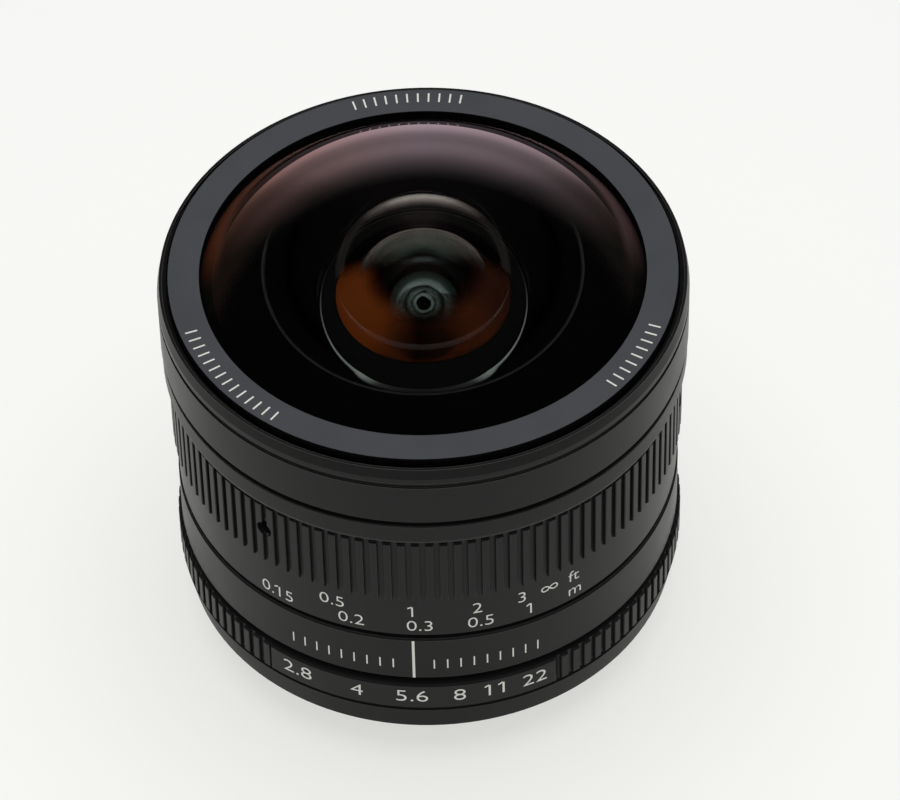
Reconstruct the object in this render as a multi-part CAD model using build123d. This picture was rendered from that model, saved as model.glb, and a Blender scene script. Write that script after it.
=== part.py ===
from build123d import *
import math
import os

# Driving dimensions in millimetres and degrees. The optical axis is Z and points to the front.
# Height 0 is the rear end of the bayonet spigot. The index line faces -Y.

# Heights of the outside, from the rear end to the front
spigot_length = 4.45
flange_thickness = 2.0
flange_step = 1.0
base_ring_height = 3.95
turning_gap = 0.1
aperture_ring_height = 4.2
shadow_gap = 0.9
index_ring_height = 6.8
focus_gap = 0.55
number_band_height = 6.25
focus_rib_length = 9.85
collar_gap = 0.45
collar_height = 3.2
waist_height = 0.8
front_barrel_height = 8.5
name_ring_rise = 0.66

# Radius of the front barrel, and how far each ring of the outside is set in from it
front_radius = 30.0
collar_inset = 0.1
collar_round = 0.9
waist_inset = 0.8
focus_inset = 1.05
focus_rib_height = 0.45
aperture_inset = 0.9
aperture_rib_height = 0.4
base_inset = 0.6
base_taper = 0.7
flange_inset = 1.2
flange_width = 5.75
spigot_wall = 1.95
claw_height = 1.25
edge_break = 0.2

# Ribs of both turning rings
rib_count = 116
rib_share = 0.58
rib_edge = 0.08
rib_end_slope = 0.35
rib_step = 0.01
number_zone_start_angle = -39.8
number_zone_end_angle = 29.6

# Bayonet
spigot_edge = 0.3
claw_thickness = 1.3
claw_offset = 1.8
claw_angle = 40.0
claw_count = 3
claw_azimuth = 90.0
mount_screw_count = 4
mount_screw_azimuth = 45.0
mount_screw_inset = 2.6
mount_screw_head = 1.4
mount_screw_shank = 0.75
mount_screw_length = 4.4
lock_notch_radius = 1.0
lock_notch_depth = 1.2

# Rear baffle
baffle_ledge_wall = 3.8
baffle_ledge_depth = 3.4
baffle_thickness = 1.15
baffle_hub_gap = 3.6
baffle_hub_wall = 0.9
baffle_hub_height = 4.25
baffle_lip_height = 0.5
baffle_lip_slope = 0.6
baffle_screw_count = 3
baffle_screw_azimuth = 30.0
baffle_screw_head = 1.1
baffle_screw_shank = 0.6
baffle_screw_length = 3.0

# Fits, all radial, and how far a cutting body reaches past what it cuts
running_fit = 0.05
seat_fit = 0.02
glass_seat = 0.03
glass_gap = 0.08
cut_past = 1.0

# Main barrel, on which both rings turn
ring_wall = 2.95
sleeve_wall = 1.6
boss_wall = 3.6
boss_height = 2.95
shoulder_rise = 1.4
shoulder_height = 1.85
journal_height = 2.55
retainer_thread_depth = 0.8
retainer_height = 1.2
retainer_gap = 0.3
index_hub_wall = 1.6

# Focus ring and helicoid
focus_journal_depth = 1.6
helicoid_inset = 0.45
helicoid_ring_gap = 0.4
helicoid_length = 11.4
carrier_thread_gap = 1.2
focus_screw_count = 3
focus_screw_azimuth = -128.9
focus_screw_height = 5.8
set_screw_radius = 1.0
set_screw_length = 2.2
set_screw_recess = 0.8
stop_pin_radius = 0.6
stop_pin_length = 2.6
stop_groove_depth = 1.4
focus_infinity_angle = 31.8
focus_near_angle = 32.6

# Aperture ring, its driving screw and its friction spring
aperture_closed_angle = 27.5
aperture_open_angle = 27.6
drive_height = 2.1
drive_screw_gap = 0.4
drive_azimuth = 90.0
stop_margin_angle = 0.6
spring_azimuth = -30.0
spring_flat_depth = 0.8
spring_thickness = 0.18
spring_height = 3.0
spring_half_length = 5.2
spring_foot = 0.6
spring_end_gap = 1.2
spring_side_gap = 0.15

# Guide key that keeps the optics from turning
key_azimuth = 210.0
key_width = 3.0
key_depth = 1.45
key_length = 6.0
key_height = 3.5
key_screw_spacing = 3.0
key_screw_head = 1.0
key_screw_shank = 0.5
slide_travel = 0.25

# Lens carrier and front cell
carrier_sleeve_wall = 1.15
front_wall = 2.6
carrier_flange_height = 2.4
central_tube_wall = 2.2
cell_screw_count = 3
cell_screw_azimuth = 90.0
cell_screw_shift = 0.2
cell_screw_head = 1.7
cell_screw_shank = 0.9
cell_screw_length = 3.2
shelf_height = 1.45
shelf_gap = 1.3
seal_thickness = 0.6
seal_width = 1.8
cell_bore_gap = 0.1
cell_ledge_drop = 0.25
retainer_lip = 0.8
retainer_edge = 0.3
second_retainer_height = 1.0
spacer_width = 1.5
lens_ledge = 0.9

# Name ring and rim
rim_width = 1.1
glass_overlap = 0.8
name_thread_step = 0.85
name_flange_height = 1.16
lip_width = 0.35
lip_groove_width = 0.5
rim_slope_height = 1.33
rim_groove_start = 2.04
rim_groove_end = 2.78
rim_groove_depth = 0.25

# Glass: half diameters, vertex radii, thicknesses and air gaps along the axis, front to rear
dome_rise = 10.8
dome_inset = 4.1
dome_sag = 12.55
dome_edge_thickness = 2.25
dome_bowl_radius = 15.0
dome_bowl_margin = 0.5
second_air = 9.05
second_radius = 13.0
second_front_curve = 22.0
second_thickness = 1.6
second_bowl_radius = 8.35
second_bowl_margin = 0.85
third_air = 7.75
third_radius = 7.5
third_front_curve = -50.0
third_rear_curve = 10.0
third_thickness = 1.0
fourth_rear_curve = -22.0
fourth_thickness = 5.8
iris_air = 0.4
fifth_air = 1.4
fifth_radius = 6.0
fifth_front_curve = 25.0
fifth_rear_curve = 8.5
fifth_thickness = 1.2
sixth_rear_curve = -14.0
sixth_thickness = 4.8
seventh_air = 0.4
seventh_radius = 7.0
seventh_front_curve = 18.0
seventh_rear_curve = -12.0
seventh_thickness = 4.6
eighth_rear_curve = -40.0
eighth_thickness = 1.2
ninth_air = 0.5
ninth_radius = 8.0
ninth_front_curve = 16.0
ninth_rear_curve = -60.0
ninth_thickness = 3.6

# Rear cell
rear_cell_radius = 10.2
rear_cell_edge = 0.3
rear_cell_flange_height = 1.6
rear_cell_margin = 0.2
rear_lip_bore = 5.4
rear_bore_step = 0.5
rear_spacer_wall = 0.9
rear_spacer_relief = 0.5
rear_retainer_height = 1.8
rear_retainer_wall = 1.4

# Iris
iris_radius = 14.0
iris_wall = 1.1
iris_floor = 1.2
iris_stop_step = 0.4
blade_count = 7
blade_clearance = 0.2
blade_thickness = 0.1
blade_step = 0.16
blade_edge_inset = 4.0
blade_width = 2.8
blade_start_angle = -8.0
blade_end_angle = 125.0
blade_pivot_inset = 2.1
blade_tab_radius = 1.0
blade_pin_radius = 0.35
blade_pin_fit = 0.08
blade_pin_gap = 0.3
cam_pin_inset = 1.6
cam_pin_angle = 17.0
cam_tab_radius = 0.8
blade_rest_angle = 15.5
blade_ratio = 0.5
cam_clearance = 0.14
cam_thickness = 1.2
cam_bore_inset = 3.0
cover_clearance = 0.1
cover_thickness = 1.1
arm_width = 6.0
arm_inset = 1.8
arm_thickness = 1.2
arm_tongue = 1.0
arm_gap = 0.2
arm_end_gap = 0.6

# Heights worked out from the stack
flange_z = spigot_length
base_z = flange_z + flange_step
plate_z = flange_z + flange_thickness
base_top_z = base_z + base_ring_height
aperture_z = base_top_z + turning_gap
aperture_top_z = aperture_z + aperture_ring_height
index_z = aperture_top_z + shadow_gap
index_top_z = index_z + index_ring_height
focus_z = index_top_z + focus_gap
ribs_z = focus_z + number_band_height
focus_top_z = ribs_z + focus_rib_length
collar_z = focus_top_z + collar_gap
waist_z = collar_z + collar_height
front_z = waist_z + waist_height
lip_z = front_z + front_barrel_height
name_z = lip_z + name_ring_rise
boss_top_z = plate_z + boss_height
shoulder_top_z = focus_z - turning_gap
shoulder_z = shoulder_top_z - shoulder_height
journal_top_z = focus_z + journal_height
retainer_z = journal_top_z + turning_gap
barrel_top_z = retainer_z + retainer_height
helicoid_z = barrel_top_z + helicoid_ring_gap
carrier_thread_z = barrel_top_z + carrier_thread_gap
carrier_flange_z = front_z + carrier_flange_height
drive_z = aperture_z + drive_height
key_z = index_z + key_height
focus_screw_z = ribs_z + focus_screw_height
baffle_z = baffle_ledge_depth - baffle_thickness

# Radii worked out from the front barrel inwards
collar_radius = front_radius - collar_inset
waist_radius = front_radius - waist_inset
focus_floor_radius = front_radius - focus_inset
aperture_floor_radius = front_radius - aperture_inset
index_radius = aperture_floor_radius
base_top_radius = front_radius - base_inset
base_bottom_radius = base_top_radius - base_taper
flange_radius = base_bottom_radius - flange_inset
mount_screw_circle = flange_radius - mount_screw_inset
spigot_radius = flange_radius - flange_width
claw_radius = spigot_radius + claw_height
sleeve_radius = focus_floor_radius - ring_wall
shoulder_radius = sleeve_radius + shoulder_rise
index_hub_radius = sleeve_radius + index_hub_wall
focus_bore_radius = sleeve_radius + focus_journal_depth
retainer_thread_radius = sleeve_radius - retainer_thread_depth
retainer_radius = focus_bore_radius - retainer_gap
helicoid_radius = sleeve_radius - helicoid_inset
carrier_flange_radius = front_radius - front_wall
name_ring_radius = front_radius - rim_width
name_ring_thread = name_ring_radius - name_thread_step
dome_radius = front_radius - dome_inset
name_ring_bore = dome_radius - glass_overlap
dome_front_curve = (dome_radius**2 + dome_sag**2) / (2 * dome_sag)
dome_rear_curve = dome_bowl_radius + dome_bowl_margin
second_rear_curve = second_bowl_radius + second_bowl_margin

# Radii worked out from the fits
spigot_bore = spigot_radius - spigot_wall
ledge_bore_radius = spigot_bore - baffle_ledge_wall
baffle_opening_radius = ledge_bore_radius - baffle_hub_gap - baffle_hub_wall
sleeve_bore = sleeve_radius - sleeve_wall
carrier_sleeve_radius = sleeve_bore - running_fit
carrier_sleeve_bore = carrier_sleeve_radius - carrier_sleeve_wall
carrier_bottom_z = boss_top_z + 2 * slide_travel
stop_pin_circle = (sleeve_radius + shoulder_radius) / 2
baffle_screw_circle = spigot_bore - baffle_ledge_wall / 2
iris_bore = iris_radius - iris_wall
cam_pin_circle = iris_bore - cam_pin_inset
blade_pivot_circle = cam_pin_circle - blade_pivot_inset
blade_edge_radius = blade_pivot_circle - blade_edge_inset
cam_bore_radius = blade_pivot_circle - cam_bore_inset
iris_stop_radius = blade_edge_radius + iris_stop_step
central_tube_radius = iris_radius + central_tube_wall
arm_radius = central_tube_radius + arm_inset
shelf_bore_radius = central_tube_radius + shelf_gap
cell_screw_circle = (shelf_bore_radius + dome_radius) / 2 - cell_screw_shift
drive_screw_reach = aperture_floor_radius - set_screw_recess - arm_radius - drive_screw_gap
spacer_radius = third_radius + spacer_width

# Turn of the aperture ring, for the openings that its drive sweeps
drive_half_turn = (aperture_closed_angle + aperture_open_angle) / 2
drive_middle = drive_azimuth + (aperture_open_angle - aperture_closed_angle) / 2


def height(vertex, curve, radius):
    """Height of a spherical surface at a radius; a positive curve has its centre to the rear."""
    return vertex - (curve - math.copysign(math.sqrt(curve * curve - radius * radius), curve))


# Vertices of the glass, front to rear
dome_front = lip_z + dome_rise
dome_edge_z = height(dome_front, dome_front_curve, dome_radius)
dome_flat_z = dome_edge_z - dome_edge_thickness
dome_rear = dome_flat_z - height(0, dome_rear_curve, dome_bowl_radius)
second_front = dome_rear - second_air
second_rear = second_front - second_thickness
third_front = second_rear - third_air
third_rear = third_front - third_thickness
fourth_rear = third_rear - fourth_thickness
iris_top_z = fourth_rear - iris_air
iris_floor_z = iris_top_z - iris_floor
blade_top_z = iris_floor_z - blade_clearance
blade_low_z = blade_top_z - blade_thickness - blade_step * (blade_count - 1)
cam_top_z = blade_low_z - cam_clearance
cam_z = cam_top_z - cam_thickness
cover_top_z = cam_z - cover_clearance
cover_z = cover_top_z - cover_thickness
cell_flange_z = cover_z - rear_cell_flange_height
fifth_front = cover_z - fifth_air
fifth_rear = fifth_front - fifth_thickness
sixth_rear = fifth_rear - sixth_thickness
seventh_front = sixth_rear - seventh_air
seventh_rear = seventh_front - seventh_thickness
eighth_rear = seventh_rear - eighth_thickness
ninth_front = eighth_rear - ninth_air
ninth_rear = ninth_front - ninth_thickness

# Rims of the glass, which the cells seat
second_edge_z = height(second_front, second_front_curve, second_radius)
second_flat_z = height(second_rear, second_rear_curve, second_bowl_radius)
third_edge_z = height(third_front, third_front_curve, third_radius)
fourth_edge_z = height(fourth_rear, fourth_rear_curve, third_radius)
fifth_edge_z = height(fifth_front, fifth_front_curve, fifth_radius)
sixth_edge_z = height(sixth_rear, sixth_rear_curve, fifth_radius)
seventh_edge_z = height(seventh_front, seventh_front_curve, seventh_radius)
eighth_edge_z = height(eighth_rear, eighth_rear_curve, seventh_radius)
ninth_edge_z = height(ninth_front, ninth_front_curve, ninth_radius)
ninth_low_z = height(ninth_rear, ninth_rear_curve, ninth_radius)
shelf_top_z = dome_flat_z - seal_thickness
shelf_z = shelf_top_z - shelf_height
tube_top_z = second_edge_z + second_retainer_height
rear_step_z = seventh_edge_z + rear_bore_step
ninth_bore_z = eighth_edge_z - glass_gap


def turned(*corners):
    """A solid of revolution about Z from corners given as (radius, height)."""
    return revolve(Plane.XZ * make_face(Polyline(*corners, close=True)), Axis.Z)


def ring(inner, outer, low, high):
    return turned((inner, low), (outer, low), (outer, high), (inner, high))


def sector(inner, outer, low, high, middle, half_angle):
    """A piece of a ring, centred on the azimuth middle."""
    outline = Polyline((inner, low), (outer, low), (outer, high), (inner, high), close=True)
    return Rot(0, 0, middle - half_angle) * revolve(Plane.XZ * make_face(outline), Axis.Z, 2 * half_angle)


def around(shape, count, first=0.0):
    """Copies of a shape, evenly spaced about Z."""
    return [Rot(0, 0, first + 360.0 * number / count) * shape for number in range(count)]


def group(solids):
    return Compound(children=list(solids))


def radial_rod(radius, start, end, height_z, azimuth):
    """A rod along a radius of the lens."""
    rod = Rot(0, 90, 0) * Cylinder(radius, end - start)
    return Rot(0, 0, azimuth) * (Pos((start + end) / 2, 0, height_z) * rod)


def rim_edges(part, radius, height_z):
    """The circular edges of a part at a radius and height."""
    near = 0.01
    circles = part.edges().filter_by(GeomType.CIRCLE)
    at_radius = [edge for edge in circles if abs(edge.radius - radius) < near]
    return [edge for edge in at_radius if abs(edge.center().Z - height_z) < near]


def glass(radius, front, front_curve, rear, rear_curve, bowl=None):
    """One lens element; a bowl radius leaves a flat ring round the rear surface."""
    inner = bowl or radius
    front_line = ThreePointArc(
        (0, front),
        (radius / 2, height(front, front_curve, radius / 2)),
        (radius, height(front, front_curve, radius)),
    )
    flat = height(rear, rear_curve, inner)
    rear_line = ThreePointArc(
        (inner, flat),
        (inner / 2, height(rear, rear_curve, inner / 2)),
        (0, rear),
    )
    lines = [front_line, Line(front_line @ 1, (radius, flat))]
    if bowl:
        lines.append(Line((radius, flat), (inner, flat)))
    lines += [rear_line, Line((0, rear), (0, front))]
    return revolve(Plane.XZ * make_face(lines), Axis.Z)


def countersunk_screw(head, shank, length):
    """A screw with its head's face at height 0, its shank down and a cross recess."""
    cone = head - shank
    screw = turned((0, 0), (head, 0), (shank, -cone), (shank, -length), (0, -length))
    slot = Box(head * 1.3, head * 0.28, cone)
    return screw - [slot, Rot(0, 0, 90) * slot]


def countersunk_hole(head, shank, length):
    """The hole of a countersunk screw, wider by the seat fit."""
    wide = head + seat_fit
    narrow = shank + seat_fit
    low = -length - seat_fit
    return turned((0, 0), (wide, 0), (narrow, -(head - shank)), (narrow, low), (0, low))


def grub_screw(radius, outer, length, height_z, azimuth):
    """A headless screw along a radius, with a six-sided socket in its outer end."""
    body = radial_rod(radius, outer - length, outer, height_z, azimuth)
    depth = 1.2 * radius
    socket = extrude(RegularPolygon(radius * 0.55, 6), depth)
    return body - Rot(0, 0, azimuth) * (Pos(outer - depth, 0, height_z) * (Rot(0, 90, 0) * socket))


def ribbed_outline(floor, top, smooth_start=0.0, smooth_end=0.0):
    """Outline of a ribbed ring seen along the axis, with a rib centred on -Y.

    The ribs reach past their top radius, which the turned body they are cut from sets. No rib
    stands between the turns smooth_start and smooth_end, in degrees from -Y.
    """
    pitch = 360.0 / rib_count
    half = rib_share * pitch / 2
    slope = 2 * math.degrees(rib_edge / top)
    past = top + rib_edge
    rib = [
        (-pitch / 2, floor),
        (-half, floor),
        (-half, top - rib_edge),
        (-half + slope, past),
        (half - slope, past),
        (half, top - rib_edge),
        (half, floor),
    ]
    points = []
    for number in range(rib_count):
        centre = number * pitch
        turn = (centre + 180.0) % 360.0 - 180.0
        smooth = smooth_start < turn < smooth_end
        for offset, radius in [(-pitch / 2, past), (0.0, past)] if smooth else rib:
            angle = math.radians(centre + offset - 90.0)
            points.append((radius * math.cos(angle), radius * math.sin(angle)))
    return make_face(Polyline(*points, close=True))


def mount_screw_places(screw):
    placed = Pos(mount_screw_circle, 0, flange_z) * (Rot(180, 0, 0) * screw)
    return around(placed, mount_screw_count, mount_screw_azimuth)


def baffle_screw_places(screw):
    placed = Pos(baffle_screw_circle, 0, baffle_z) * (Rot(180, 0, 0) * screw)
    return around(placed, baffle_screw_count, baffle_screw_azimuth)


def cell_screw_places(screw):
    return around(Pos(cell_screw_circle, 0, shelf_top_z) * screw, cell_screw_count, cell_screw_azimuth)


def key_screw_places(screw):
    """Places of the guide key's screws, with their heads in the main barrel's outside."""
    half = key_screw_spacing / 2
    placed = Rot(0, 90, 0) * screw
    levels = (key_z - half, key_z + half)
    return [Rot(0, 0, key_azimuth) * (Pos(sleeve_radius, 0, level) * placed) for level in levels]


def focus_screw_azimuths():
    return [focus_screw_azimuth + 360.0 * number / focus_screw_count for number in range(focus_screw_count)]


def mount_bayonet():
    """Plated brass mount with its spigot, three claws, screw holes and lock notch."""
    body = turned(
        (ledge_bore_radius, baffle_ledge_depth),
        (spigot_bore, baffle_ledge_depth),
        (spigot_bore, spigot_edge),
        (spigot_bore + spigot_edge, 0),
        (spigot_radius - spigot_edge, 0),
        (spigot_radius, spigot_edge),
        (spigot_radius, flange_z),
        (flange_radius - edge_break, flange_z),
        (flange_radius, flange_z + edge_break),
        (flange_radius, plate_z),
        (ledge_bore_radius, plate_z),
    )
    claw_high = flange_z - claw_offset
    root = spigot_radius - spigot_wall / 2
    claw = sector(root, claw_radius, claw_high - claw_thickness, claw_high, claw_azimuth, claw_angle / 2)
    body += around(claw, claw_count)
    body -= mount_screw_places(countersunk_hole(mount_screw_head, mount_screw_shank, mount_screw_length))
    body -= Pos(mount_screw_circle, 0, flange_z) * Cylinder(lock_notch_radius, 2 * lock_notch_depth)
    body -= baffle_screw_places(
        countersunk_hole(baffle_screw_head, baffle_screw_shank, baffle_screw_length)
    )
    return body


def mount_screws():
    """Four countersunk screws through the bayonet into the main barrel."""
    screw = countersunk_screw(mount_screw_head, mount_screw_shank, mount_screw_length)
    return group(mount_screw_places(screw))


def rear_baffle():
    """Black light shield inside the spigot, with a short tube towards the rear element."""
    hub = baffle_opening_radius + baffle_hub_wall
    outer = spigot_bore - running_fit
    body = turned(
        (baffle_opening_radius, baffle_z - baffle_lip_height),
        (hub, baffle_z - baffle_lip_height),
        (hub + baffle_lip_slope, baffle_z),
        (outer, baffle_z),
        (outer, baffle_ledge_depth),
        (hub, baffle_ledge_depth),
        (hub, baffle_ledge_depth + baffle_hub_height),
        (baffle_opening_radius, baffle_ledge_depth + baffle_hub_height),
    )
    return body - baffle_screw_places(
        countersunk_hole(baffle_screw_head, baffle_screw_shank, baffle_screw_length)
    )


def rear_baffle_screws():
    """Three small countersunk screws that hold the baffle to the bayonet."""
    screw = countersunk_screw(baffle_screw_head, baffle_screw_shank, baffle_screw_length)
    return group(baffle_screw_places(screw))


def base_ring():
    """Fixed rear ring, tapered to the mount, clamped between bayonet and main barrel."""
    return turned(
        (flange_radius + running_fit, base_z),
        (base_bottom_radius - edge_break, base_z),
        (base_bottom_radius, base_z + edge_break),
        (base_top_radius, base_top_z - edge_break),
        (base_top_radius - edge_break, base_top_z),
        (sleeve_radius + seat_fit, base_top_z),
        (sleeve_radius + seat_fit, plate_z),
        (flange_radius + running_fit, plate_z),
    )


def key_screw_length():
    return sleeve_wall + key_depth / 2


def stop_pin(fit):
    low = shoulder_top_z + stop_groove_depth - stop_pin_length - fit
    pin = Cylinder(stop_pin_radius + fit, stop_pin_length)
    return Pos(0, -stop_pin_circle, low + stop_pin_length / 2) * pin


def main_barrel():
    """Fixed inner barrel: journal of both rings, with slots for the drive screw and guide key."""
    body = turned(
        (sleeve_radius - boss_wall, plate_z),
        (sleeve_radius, plate_z),
        (sleeve_radius, shoulder_z),
        (shoulder_radius, shoulder_z),
        (shoulder_radius, shoulder_top_z),
        (sleeve_radius, shoulder_top_z),
        (sleeve_radius, retainer_z),
        (retainer_thread_radius, retainer_z),
        (retainer_thread_radius, barrel_top_z),
        (sleeve_bore, barrel_top_z),
        (sleeve_bore, boss_top_z),
        (sleeve_radius - boss_wall, boss_top_z),
    )
    body -= mount_screw_places(countersunk_hole(mount_screw_head, mount_screw_shank, mount_screw_length))
    body -= sector(
        sleeve_bore - cut_past,
        sleeve_radius + cut_past,
        drive_z - set_screw_radius - turning_gap,
        drive_z + set_screw_radius + turning_gap,
        drive_middle,
        drive_half_turn + math.degrees(math.asin(set_screw_radius / sleeve_bore)) + stop_margin_angle,
    )
    flat = Pos(sleeve_radius - spring_flat_depth + cut_past, 0, drive_z) * Box(
        2 * cut_past, 2 * (spring_half_length + spring_end_gap), spring_height + 2 * spring_side_gap
    )
    body -= Rot(0, 0, spring_azimuth) * flat
    body -= key_screw_places(countersunk_hole(key_screw_head, key_screw_shank, key_screw_length()))
    body -= stop_pin(seat_fit)
    return body


def guide_key():
    """Brass key on the inside of the main barrel, in the slot of the lens carrier."""
    outer = math.sqrt(sleeve_bore**2 - (key_width / 2) ** 2) - seat_fit
    block = Pos(outer - key_depth / 2, 0, key_z) * Box(key_depth, key_width, key_length)
    key = Rot(0, 0, key_azimuth) * block
    return key - key_screw_places(countersunk_hole(key_screw_head, key_screw_shank, key_screw_length()))


def guide_key_screws():
    """Two small screws through the main barrel into the guide key."""
    return group(key_screw_places(countersunk_screw(key_screw_head, key_screw_shank, key_screw_length())))


def focus_stop_pin():
    """Pin in the barrel's shoulder that ends the focus ring's turn at both ends of its groove."""
    return stop_pin(0.0)


def index_ring():
    """Fixed ring with the index line, on the main barrel between the two turning rings."""
    bore = sleeve_radius + seat_fit
    return turned(
        (bore, aperture_top_z + turning_gap),
        (index_hub_radius, aperture_top_z + turning_gap),
        (index_hub_radius, index_z),
        (index_radius - edge_break, index_z),
        (index_radius, index_z + edge_break),
        (index_radius, index_top_z - edge_break),
        (index_radius - edge_break, index_top_z),
        (shoulder_radius + seat_fit, index_top_z),
        (shoulder_radius + seat_fit, shoulder_z),
        (bore, shoulder_z),
    )


def focus_retainer():
    """Threaded ring on the front of the main barrel that keeps the focus ring on."""
    return ring(retainer_thread_radius + seat_fit, retainer_radius, retainer_z, barrel_top_z)


def focus_ring():
    """Ribbed focus ring with its number band, journal shoulder, stop groove and screw holes."""
    bore = sleeve_radius + running_fit
    top = focus_floor_radius + focus_rib_height
    body = turned(
        (bore, focus_z),
        (focus_floor_radius - edge_break, focus_z),
        (focus_floor_radius, focus_z + edge_break),
        (focus_floor_radius, ribs_z),
        (top, ribs_z + rib_end_slope),
        (top, focus_top_z - edge_break),
        (top - edge_break, focus_top_z),
        (focus_bore_radius, focus_top_z),
        (focus_bore_radius, journal_top_z),
        (bore, journal_top_z),
    )
    pin_side = stop_pin_radius + running_fit
    pin_angle = math.degrees(math.asin(pin_side / stop_pin_circle)) + stop_margin_angle
    body -= sector(
        sleeve_radius - cut_past,
        stop_pin_circle + pin_side,
        focus_z - cut_past,
        focus_z + stop_groove_depth,
        -90.0 + (focus_infinity_angle - focus_near_angle) / 2,
        (focus_infinity_angle + focus_near_angle) / 2 + pin_angle,
    )
    hole = set_screw_radius + seat_fit
    for azimuth in focus_screw_azimuths():
        body -= radial_rod(hole, focus_bore_radius - cut_past, top + cut_past, focus_screw_z, azimuth)
    outline = ribbed_outline(focus_floor_radius + rib_step, top)
    return (Pos(0, 0, focus_z) * extrude(outline, focus_top_z - focus_z)) & body


def helicoid_ring():
    """Brass ring inside the focus ring that carries the focusing thread."""
    outer = focus_bore_radius - seat_fit
    body = ring(helicoid_radius + running_fit, outer, helicoid_z, helicoid_z + helicoid_length)
    hole = set_screw_radius + seat_fit
    depth = focus_floor_radius - set_screw_recess - set_screw_length - seat_fit
    for azimuth in focus_screw_azimuths():
        body -= radial_rod(hole, depth, outer + cut_past, focus_screw_z, azimuth)
    return body


def focus_set_screws():
    """Three grub screws that join the focus ring to the helicoid ring."""
    outer = focus_floor_radius - set_screw_recess
    return group(
        grub_screw(set_screw_radius, outer, set_screw_length, focus_screw_z, azimuth)
        for azimuth in focus_screw_azimuths()
    )


def aperture_ring():
    """Ribbed aperture ring with a smooth zone for its numbers and a hole for its driving screw."""
    top = aperture_floor_radius + aperture_rib_height
    bore = sleeve_radius + running_fit
    body = turned(
        (bore, aperture_z),
        (aperture_floor_radius, aperture_z),
        (top, aperture_z + rib_end_slope),
        (top, aperture_top_z - edge_break),
        (top - edge_break, aperture_top_z),
        (bore, aperture_top_z),
    )
    body -= radial_rod(set_screw_radius + seat_fit, bore - cut_past, top + cut_past, drive_z, drive_azimuth)
    zone = (number_zone_start_angle, number_zone_end_angle)
    outline = ribbed_outline(aperture_floor_radius + rib_step, top, *zone)
    return (Pos(0, 0, aperture_z) * extrude(outline, aperture_ring_height)) & body


def aperture_drive_screw():
    """Long screw from the aperture ring, through the barrel's slot, into the fork of the iris."""
    outer = aperture_floor_radius - set_screw_recess
    return grub_screw(set_screw_radius, outer, drive_screw_reach, drive_z, drive_azimuth)


def aperture_spring():
    """Bowed leaf spring that lies on a flat of the barrel and drags on the aperture ring's bore."""
    foot = sleeve_radius - spring_flat_depth + seat_fit
    crest = sleeve_radius - seat_fit
    heel = spring_half_length - spring_foot
    outer = ThreePointArc((foot, -spring_half_length), (crest, 0), (foot, spring_half_length))
    inner = ThreePointArc((foot, heel), (crest - spring_thickness, 0), (foot, -heel))
    lines = [outer, Line(outer @ 1, inner @ 0), inner, Line(inner @ 1, outer @ 0)]
    leaf = Pos(0, 0, drive_z - spring_height / 2) * extrude(make_face(lines), spring_height)
    return Rot(0, 0, spring_azimuth) * leaf


def name_ring():
    """Flat front ring that screws into the front barrel and holds the front element."""
    flange_low = name_z - name_flange_height
    cone_low = height(dome_front, dome_front_curve, dome_radius) + glass_gap
    cone_high = height(dome_front, dome_front_curve, name_ring_bore) + glass_gap
    return turned(
        (name_ring_bore, cone_high),
        (dome_radius, cone_low),
        (name_ring_thread, cone_low),
        (name_ring_thread, flange_low),
        (name_ring_radius, flange_low),
        (name_ring_radius, name_z - edge_break),
        (name_ring_radius - edge_break, name_z),
        (name_ring_bore + edge_break / 2, name_z),
        (name_ring_bore, name_z - edge_break / 2),
    )


def front_barrel():
    """Front barrel with its rim, the seat of the front element and the screw shelf."""
    lip_bore = name_ring_radius + lip_groove_width
    seat_bore = dome_radius + cell_bore_gap
    thread_bore = name_ring_thread + running_fit
    ledge_z = dome_edge_z - cell_ledge_drop
    flange_low = name_z - name_flange_height - running_fit
    body = turned(
        (carrier_flange_radius + running_fit, front_z),
        (front_radius - edge_break, front_z),
        (front_radius, front_z + edge_break),
        (front_radius, lip_z - rim_groove_end),
        (front_radius - rim_groove_depth, lip_z - rim_groove_end),
        (front_radius - rim_groove_depth, lip_z - rim_groove_start),
        (front_radius, lip_z - rim_groove_start),
        (front_radius, lip_z - rim_slope_height),
        (lip_bore + lip_width, lip_z),
        (lip_bore, lip_z),
        (lip_bore, flange_low),
        (thread_bore, flange_low),
        (thread_bore, ledge_z),
        (seat_bore, ledge_z),
        (seat_bore, shelf_top_z),
        (shelf_bore_radius, shelf_top_z),
        (shelf_bore_radius, shelf_z),
        (carrier_flange_radius + running_fit, shelf_z),
    )
    return body - cell_screw_places(countersunk_hole(cell_screw_head, cell_screw_shank, cell_screw_length))


def front_collar():
    """Smooth collar under the front barrel, rounded inwards above the focus ring."""
    bore = helicoid_radius + 2 * running_fit
    body = turned(
        (bore, collar_z),
        (collar_radius, collar_z),
        (collar_radius, waist_z),
        (waist_radius, waist_z),
        (waist_radius, front_z),
        (bore, front_z),
    )
    body = fillet(rim_edges(body, collar_radius, collar_z), collar_round)
    return chamfer(rim_edges(body, collar_radius, waist_z), edge_break / 2)


def arm_window(inner, outer):
    """Space that the iris arm sweeps through a wall."""
    arm_side = math.degrees(math.asin(arm_width / 2 / iris_bore)) + 2 * stop_margin_angle
    low = cam_top_z - arm_tongue - arm_gap
    high = cam_top_z + arm_gap
    return sector(inner - cut_past, outer + cut_past, low, high, drive_middle, drive_half_turn + arm_side)


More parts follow.
